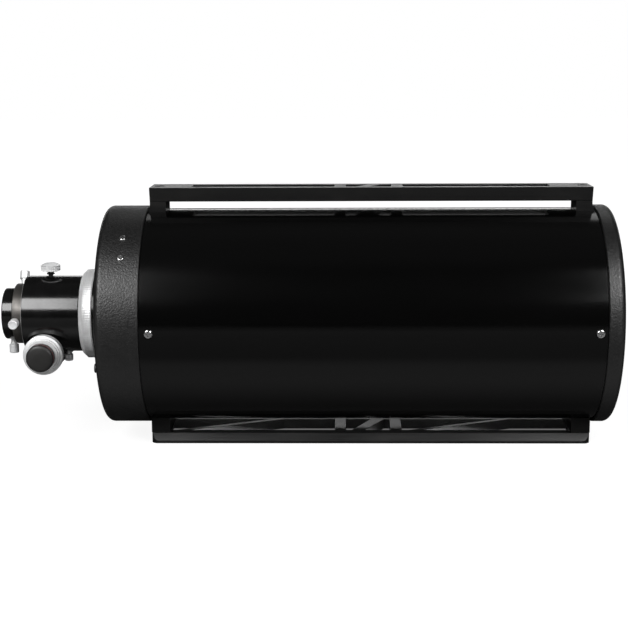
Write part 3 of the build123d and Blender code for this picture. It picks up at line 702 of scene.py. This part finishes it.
def coarse_wheel(side, sign):
    """Silver wheel on one end of the shaft. sign is -1 towards the near side."""
    node = f"coarse_knob_{side}"
    low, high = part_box(node)
    outer = (high.y if sign > 0 else -low.y) / MM
    inner = outer - WHEEL_THICK
    hub = outer - WHEEL_AND_HUB
    form = turned_form([(3.0, hub), (5.4, hub), (5.4, inner), (coarse_r - 1.0, inner),
                        (coarse_r, inner + 0.8), (coarse_r, inner + 1.3),
                        (coarse_r, inner + 7.6), (coarse_r, inner + 8.1),
                        (coarse_r - 0.7, inner + 8.8), (coarse_r - 2.3, inner + 9.3),
                        (coarse_r - 2.5, inner + 10.9), (coarse_r - 2.9, inner + 11.3),
                        (coarse_r - 3.7, inner + 11.4), (coarse_r - 4.0, inner + 12.9),
                        (coarse_r - 4.6, outer), (3.0, outer), (3.0, hub)],
                       [(13, 0.3)], COARSE_TEETH)
    knurl(form, COARSE_TEETH, COARSE_KNURL_DEPTH, inner + 1.1, inner + 7.8, coarse_r - 0.2)
    bmesh.ops.remove_doubles(form, verts=form.verts, dist=SEAM_CLOSE)
    foot = Vector((shaft_middle.x, 0, shaft_middle.z))
    set_down(form, foot, across_tube * sign)
    return make_piece(f"{node}_wheel", form, silver(f"{node}_silver", foot, across_tube),
                      "coarse_focus", [node])


coarse_wheel("left", -1)
coarse_wheel("right", 1)

# %% [markdown]
# ## The fine knob and its red line
# On the near side a small black knob, geared ten to one, gives fine focus. Its rim has a single
# dark red line, a ring of paint in a groove. Paint could be a stripe in the material, but a
# thin ring of its own keeps both edges crisp at any distance.

# %% Fine knob and red line
LINE_FROM_END = 6.3
LINE_RED = (0.42, 0.010, 0.016, 1)
LINE_RED_WORN = (0.26, 0.008, 0.012, 1)
fine_r = size_of("fine_knob").x / 2 / MM
fine_end = -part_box("fine_knob")[0].y / MM
shaft_foot = Vector((shaft_middle.x, 0, shaft_middle.z))
line_at = fine_end - LINE_FROM_END
form = turned_form([(0, fine_end - 18.5), (2.8, fine_end - 18.5), (2.8, fine_end - 13.0),
                    (fine_r - 0.6, fine_end - 13.0), (fine_r, fine_end - 12.4), (fine_r, line_at - 0.8),
                    (fine_r - 0.4, line_at - 0.7), (fine_r - 0.4, line_at + 0.7), (fine_r, line_at + 0.8),
                    (fine_r, fine_end - 3.0), (fine_r - 2.2, fine_end - 1.4), (0, fine_end)],
                   [(9, 1.2), (10, 1.4)], 24)
set_down(form, shaft_foot, -across_tube)
knob_black = turned_metal("fine_knob_black", grey(0.0065, 0.05), grey(0.011, 0.06), shaft_foot,
                          across_tube, 0.0, (0.40, 0.52), 0.00004, 900.0)
make_piece("fine_knob_domed", form, knob_black, "fine_focus", ["fine_knob"])

line = turned_form([(fine_r - 0.6, line_at - 0.65), (fine_r - 0.1, line_at - 0.65),
                    (fine_r - 0.1, line_at + 0.65), (fine_r - 0.6, line_at + 0.65),
                    (fine_r - 0.6, line_at - 0.65)], [], 24)
set_down(line, shaft_foot, -across_tube)
red_line = turned_metal("fine_knob_red", LINE_RED, LINE_RED_WORN, shaft_foot, across_tube, 0.0,
                        (0.35, 0.5))
make_piece("fine_knob_line", line, red_line, "fine_focus")

# %% [markdown]
# ## The far cap
# The far wheel has no gear behind it, only a plain black cap with a rounded shoulder and a
# shallow dish.

# %% Far cap
cap_low, cap_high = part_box("knob_cap_right")
cap_r = size_of("knob_cap_right").x / 2 / MM
cap_start = cap_low.y / MM
cap_end = cap_high.y / MM
form = turned_form([(0, cap_start), (cap_r - 0.5, cap_start), (cap_r, cap_start + 0.5),
                    (cap_r, cap_end - 1.6), (cap_r - 1.6, cap_end - 0.6), (4.0, cap_end),
                    (3.2, cap_end - 0.5), (0, cap_end - 0.5)],
                   [(3, 0.8), (4, 0.8)], 24)
set_down(form, shaft_foot, across_tube)
make_piece("knob_cap_right_domed", form, gloss_black("knob_cap_black", shaft_foot, across_tube),
           "coarse_focus", ["knob_cap_right"])

# %% [markdown]
# ## The room
# The backdrop is white to the camera. What gloss black reflects is a different matter: a real
# studio is mostly dark, with a little light overhead. A Light Path node keeps the two apart.
# It stands on the world and on the floor only, never on the object.

# %% World
WHITE = (1, 1, 1, 1)
DIM_ROOM = 0.04
OVERHEAD_GLOW = 0.05
world = bpy.data.worlds.new("studio")
world.use_nodes = True
bpy.context.scene.world = world
room = Finish("studio", world.node_tree)
height = room.axes(room.add("ShaderNodeTexCoord", out="Generated"))[2]
glow = room.between(height, 0.80, 0.98, 0.0, OVERHEAD_GLOW) + DIM_ROOM
seen = room.add("ShaderNodeLightPath", out="Is Camera Ray")
background = room.add("ShaderNodeBackground", {}, {
    "Color": WHITE, "Strength": seen + (1 - seen) * glow})
room.add("ShaderNodeOutputWorld", {}, {"Surface": background})

# %% [markdown]
# ## The floor
# The telescope rests on a wide sheet with no edge in sight. One square from a grid operator is
# enough, because the sheet is flat and its look comes from its material.

# %% Floor sheet
FLOOR_SIDE = 14.0
form = bmesh.new()
bmesh.ops.create_grid(form, x_segments=1, y_segments=1, size=FLOOR_SIDE / 2)
mesh = bpy.data.meshes.new("floor")
form.to_mesh(mesh)
form.free()
floor = bpy.data.objects.new("floor", mesh)
bpy.context.scene.collection.objects.link(floor)
print("floor side in metres:", FLOOR_SIDE)

# %% [markdown]
# ## The paper of the floor
# To the camera the floor is over-lit paper that melts into the backdrop, with a painted shade
# where it shows through the lower rail. The lower half of the tube reflects it too, and a white
# floor would wash the gloss out. So to every other ray it is matt grey in bands: a painted shadow
# under the tube, lightest just beside it, dimmer further out and dimmest behind.

# %% Floor paper
# Tones of the matt floor; the first is a painted shadow under the tube.
UNDER_TUBE_SHADOW = 0.05
BESIDE_TUBE = 0.36
FAR_SHARE = 0.5
BEHIND_SHARE = 0.15
NEAR_GLOW = 0.90
FAR_GLOW = 1.0
RAIL_SHADE = 0.85
SHADE_INSET = 0.010     # metres from the rail's end to the shade's, both past the last window
paper = Finish("floor_paper")
spot = paper.place()
x, y = paper.axes(spot)[:2]
from_middle = abs(y)
tone = paper.between(from_middle, 0.05, 0.15, UNDER_TUBE_SHADOW, BESIDE_TUBE)
tone = tone * paper.between(from_middle, 0.19, 0.26, 1.0, FAR_SHARE)
tone = tone * paper.between(y, 0.05, 0.15, 1.0, BEHIND_SHARE)
shade = paper.add("ShaderNodeCombineColor", {}, {0: tone, 1: tone, 2: tone})
matt = paper.add("ShaderNodeBsdfDiffuse", {}, {"Color": shade})

rail_half = size_of("bottom_rail").x / 2 - SHADE_INSET
# Painted shade: to the camera the floor glows less where it shows through the lower rail.
painted_rail_shade = paper.between(from_middle, 0.028, 0.032, 1.0, 0.0)
painted_rail_shade = painted_rail_shade * paper.between(abs(x), rail_half - 0.002, rail_half + 0.002, 1.0, 0.0)
away = paper.add("ShaderNodeVectorMath", {"operation": "LENGTH"}, {0: spot}, "Value")
strength = paper.between(away, 0.45, 1.3, NEAR_GLOW, FAR_GLOW) * (1 - painted_rail_shade * RAIL_SHADE)
glow = paper.add("ShaderNodeEmission", {}, {"Color": WHITE, "Strength": strength})
seen_matt = paper.add("ShaderNodeBsdfDiffuse", {}, {"Color": grey(0.18)})
lit = paper.add("ShaderNodeAddShader", {}, {0: seen_matt, 1: glow})

seen = paper.add("ShaderNodeLightPath", out="Is Camera Ray")
surface = paper.add("ShaderNodeMixShader", {}, {0: seen, 1: matt, 2: lit})
paper.add("ShaderNodeOutputMaterial", {}, {"Surface": surface})
mesh.materials.append(paper.material)
print("floor nodes:", len(paper.tree.nodes))

# %% [markdown]
# ## The lamps
# Two big soft boxes stand left and right of the camera, above the tube and facing straight
# ahead. Each draws one broad streak on the gloss, and the dark gap between them keeps the
# middle of the tube black. A faint box behind lifts the outline, and a low strip behind is
# there for the top faces of the rails, which mirror it at a grazing angle.

# %% Lamps
def soft_box(name, place, width, tall, watts, aim):
    """A large rectangular lamp that faces a point."""
    lamp = bpy.data.lights.new(name, "AREA")
    lamp.shape = "RECTANGLE"
    lamp.size = width
    lamp.size_y = tall
    lamp.energy = watts
    box = bpy.data.objects.new(name, lamp)
    box.location = place
    box.rotation_euler = (Vector(aim) - Vector(place)).to_track_quat("-Z", "Y").to_euler()
    bpy.context.scene.collection.objects.link(box)
    print(name, watts, "W")
    return box


SIDE_OUT = 1.16
SIDE_BACK = 1.50
SIDE_UP = 1.35
BOX_WIDE = 1.00
BOX_TALL = 1.15
STRIP_BEHIND = 1.6
STRIP_UP = 0.57
for name, side, watts in (("left_soft_box", -SIDE_OUT, 46), ("right_soft_box", SIDE_OUT, 44)):
    straight_ahead = (side, 0, tube_middle.z)
    soft_box(name, (side, -SIDE_BACK, SIDE_UP), BOX_WIDE, BOX_TALL, watts, straight_ahead)
soft_box("back_soft_box", (0.2, 1.9, 1.9), 1.6, 0.8, 5, tube_middle)
soft_box("back_strip", (0, STRIP_BEHIND, STRIP_UP), 3.2, 0.12, 3.6, (0, 0, middle("top_rail").z))

# %% [markdown]
# ## Colour
# The plain view transform keeps white as white.

# %% Finish
bpy.context.scene.view_settings.view_transform = "Standard"
